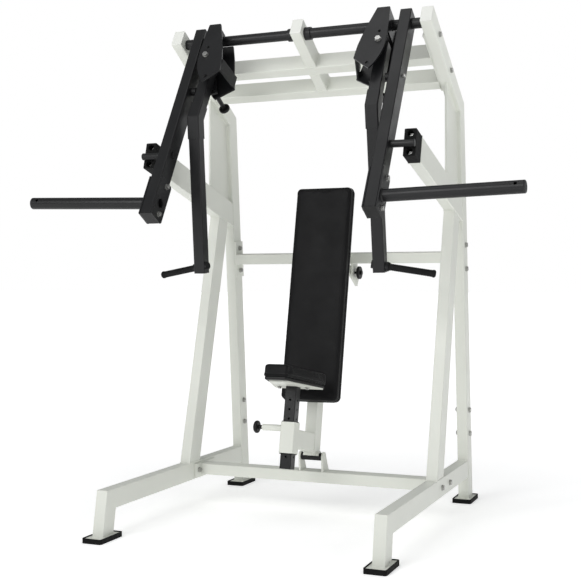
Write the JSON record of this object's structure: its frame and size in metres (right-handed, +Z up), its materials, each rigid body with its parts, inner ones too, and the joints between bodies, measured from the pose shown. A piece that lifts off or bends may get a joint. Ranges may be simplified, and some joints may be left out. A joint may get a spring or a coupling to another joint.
{
  "type": "plate-loaded chest press machine",
  "caption": "Seated chest press with weight-plate levers hung from an overhead shaft, hand grips, a reclined back pad and a height-adjustable seat.",
  "frame": {"origin": "centre of the footprint, on the floor", "axes": "+X to the seated user's left, -Y the way the user faces and presses, +Z up"},
  "size_m": [2.1208, 1.474, 2.1814],
  "materials": {
    "white_paint": "semi-gloss powder coat",
    "black_paint": "satin powder coat",
    "zinc": "bright zinc plate",
    "black_rubber": "matte",
    "grip_rubber": "matte, ribbed",
    "black_plastic": "satin",
    "white_plastic": "satin",
    "vinyl": "fine-grained upholstery vinyl"
  },
  "bodies": {
    "frame": {"base_rail_left": "white_paint", "base_rail_right": "white_paint", "bottom_crossbar": "white_paint", "bumper_blocks": "black_rubber", "centre_bracket": "white_paint", "diagonal_leg_left": "white_paint", "diagonal_leg_right": "white_paint", "foot_boots": "black_rubber", "foot_plates": "white_paint", "frame_bolts": "zinc", "front_posts": "white_paint", "gusset_plates": "white_paint", "head_crossbars": "white_paint", "head_side_plates": "white_paint", "head_tube_left": "white_paint", "head_tube_right": "white_paint", "main_shaft": "black_paint", "middle_crossbar": "white_paint", "rear_upright_left": "white_paint", "rear_upright_right": "white_paint", "seat_pivot_shaft": "white_paint", "shaft_spacers": "black_paint", "stop_arm_left": "white_paint", "stop_arm_right": "white_paint", "tube_caps": "white_plastic"},
    "seat_unit": {"back_post": "white_paint", "pivot_bush": "black_plastic", "seat_sleeve_bushes": "black_plastic", "seat_link": "white_paint", "seat_sleeve": "white_paint", "back_pad": "vinyl", "tilt_quadrants": "white_paint"},
    "seat_lift": {"seat_post": "black_paint", "seat_plate": "white_paint", "seat_pad": "vinyl", "seat_bolts": "zinc"},
    "seat_pop_pin": {"seat_pop_pin": "black_plastic"},
    "tilt_pin": {"tilt_pin": "black_plastic"},
    "press_right": {"horn_plates_right": "black_paint", "lever_bolts_right": "zinc", "lever_plugs_right": "black_plastic", "pivot_bolt_right": "zinc", "pivot_yoke_right": "black_paint", "stop_peg_right": "black_paint", "weight_horn_right": "black_paint", "weight_lever_right": "black_paint"},
    "handle_right": {"handle_arm_right": "black_paint", "hand_grip_right": "grip_rubber"},
    "pull_pin_right": {"pull_pin_right": "black_plastic"},
    "press_left": {"horn_plates_left": "black_paint", "lever_bolts_left": "zinc", "lever_plugs_left": "black_plastic", "pivot_bolt_left": "zinc", "pivot_yoke_left": "black_paint", "stop_peg_left": "black_paint", "weight_horn_left": "black_paint", "weight_lever_left": "black_paint"},
    "handle_left": {"handle_arm_left": "black_paint", "hand_grip_left": "grip_rubber"},
    "pull_pin_left": {"pull_pin_left": "black_plastic"}
  },
  "joints": [
    {"name": "press_right", "type": "hinge", "parent": "frame", "child": "press_right", "pos_m": [0.482, 0.0147, 2.10914], "axis": [1, 0, 0], "range_deg": [-50, 0]},
    {"name": "handle_width_right", "type": "hinge", "parent": "press_right", "child": "handle_right", "pos_m": [0.397, -0.0538, 1.9905], "axis": [0, -0.866, 0.5], "range_deg": [-16, 0]},
    {"name": "pull_pin_right", "type": "slide", "parent": "press_right", "child": "pull_pin_right", "axis": [0, 0.866, -0.5], "range_m": [0, 0.018], "stiffness_N_per_m": 600, "springref_m": -0.01},
    {"name": "press_left", "type": "hinge", "parent": "frame", "child": "press_left", "pos_m": [-0.482, 0.0147, 2.10914], "axis": [1, 0, 0], "range_deg": [-50, 0]},
    {"name": "handle_width_left", "type": "hinge", "parent": "press_left", "child": "handle_left", "pos_m": [-0.397, -0.0538, 1.9905], "axis": [0, -0.866, 0.5], "range_deg": [0, 16]},
    {"name": "pull_pin_left", "type": "slide", "parent": "press_left", "child": "pull_pin_left", "axis": [0, 0.866, -0.5], "range_m": [0, 0.018], "stiffness_N_per_m": 600, "springref_m": -0.01},
    {"name": "seat_unit_tilt", "type": "hinge", "parent": "frame", "child": "seat_unit", "pos_m": [0, 0.16, 0.245], "axis": [1, 0, 0], "range_deg": [-4, 4]},
    {"name": "seat_height", "type": "slide", "parent": "seat_unit", "child": "seat_lift", "axis": [0, 0.2079, 0.9781], "range_m": [-0.08, 0.08]},
    {"name": "seat_pop_pin", "type": "slide", "parent": "seat_unit", "child": "seat_pop_pin", "axis": [-1, 0, 0], "range_m": [0, 0.016], "stiffness_N_per_m": 600, "springref_m": -0.01},
    {"name": "tilt_pin", "type": "slide", "parent": "frame", "child": "tilt_pin", "axis": [1, 0, 0], "range_m": [0, 0.016], "stiffness_N_per_m": 600, "springref_m": -0.01}
  ]
}
